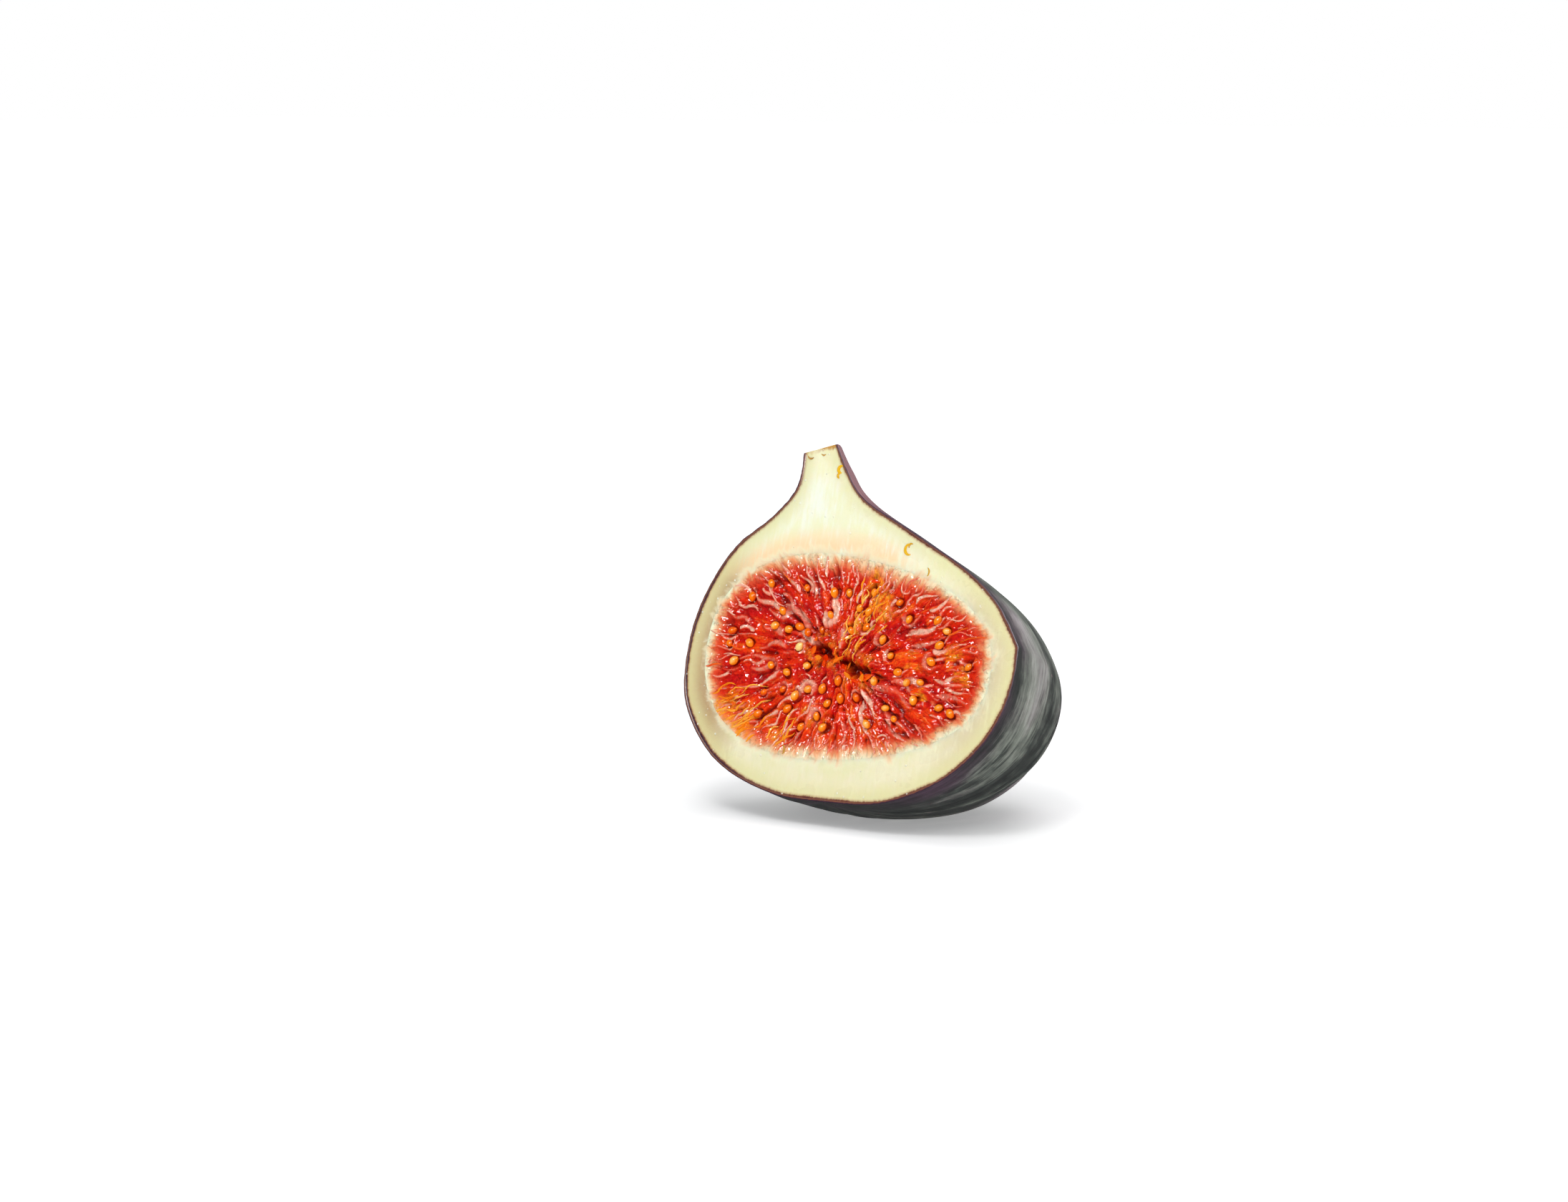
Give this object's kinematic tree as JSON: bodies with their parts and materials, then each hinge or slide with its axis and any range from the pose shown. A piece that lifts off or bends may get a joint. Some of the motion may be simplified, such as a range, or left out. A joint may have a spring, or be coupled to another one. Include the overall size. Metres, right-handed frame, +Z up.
{
  "type": "halved fresh fig",
  "caption": "Fresh fig cut lengthwise: dark ribbed skin, cream flesh that runs up into a short cut stem, and red pulp of florets and seeds. It rests on its underside and leans back.",
  "frame": {"origin": "on the surface the half rests on, under the middle of its box", "axes": "+Z up, with the stem at the top; the cut face looks towards -Y and leans back by 15 degrees; +X to the right of someone who looks at the cut face"},
  "size_m": [0.0558, 0.0371, 0.0516],
  "materials": {
    "skin": "dull, with a waxy grey-green bloom over dark purple",
    "flesh": "moist cream flesh, freshly cut",
    "pulp": "wet, glossy and translucent red with pale seeds"
  },
  "bodies": {
    "root": {"skin": "skin", "flesh": "flesh", "pulp": "pulp"}
  },
  "joints": []
}
